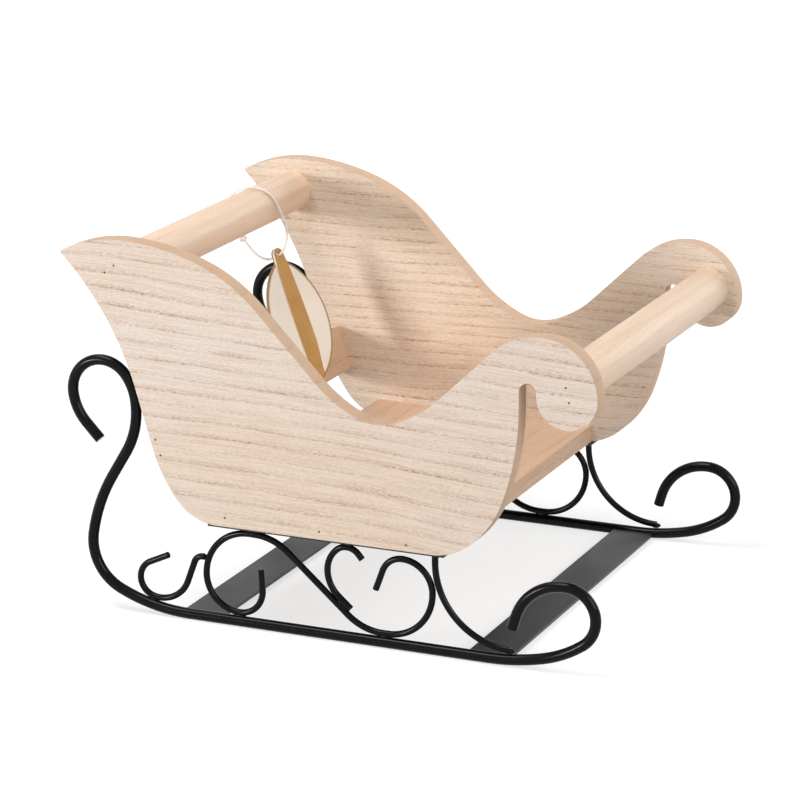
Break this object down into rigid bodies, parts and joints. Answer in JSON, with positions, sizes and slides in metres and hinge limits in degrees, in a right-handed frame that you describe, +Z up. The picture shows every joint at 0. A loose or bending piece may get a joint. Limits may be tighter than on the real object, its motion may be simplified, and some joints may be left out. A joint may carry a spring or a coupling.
{
  "type": "decorative sleigh",
  "caption": "Decorative wooden sleigh with curved side panels, dowel crossbars and a floor board, standing on bent-wire runners with scrollwork; a card tag hangs from the rear bar.",
  "frame": {"origin": "middle of the overall length and width, on the ground under the runners", "axes": "+X to the front of the sleigh, +Y to its left, +Z up"},
  "size_m": [0.2609, 0.2, 0.1756],
  "materials": {
    "panel_wood": "bare, open grained, matte",
    "dowel_wood": "bare, fine grained, sanded",
    "black_iron": "black satin powder coat",
    "card": "matte print stock",
    "string": "soft twisted cotton"
  },
  "bodies": {
    "root": {"side_panel_right": "panel_wood", "side_panel_left": "panel_wood", "floor_board": "panel_wood", "rear_dowel": "dowel_wood", "front_dowel": "dowel_wood", "back_slat": "panel_wood", "top_bar_right": "black_iron", "top_bar_left": "black_iron", "runner_right": "black_iron", "runner_left": "black_iron", "s_scroll_right": "black_iron", "s_scroll_left": "black_iron", "tail_scroll_right": "black_iron", "tail_scroll_left": "black_iron", "hook_scroll_right": "black_iron", "hook_scroll_left": "black_iron", "front_leg_right": "black_iron", "front_leg_left": "black_iron", "rear_strap": "black_iron", "front_strap": "black_iron", "tag_card": "card", "tag_string": "string"}
  },
  "joints": []
}
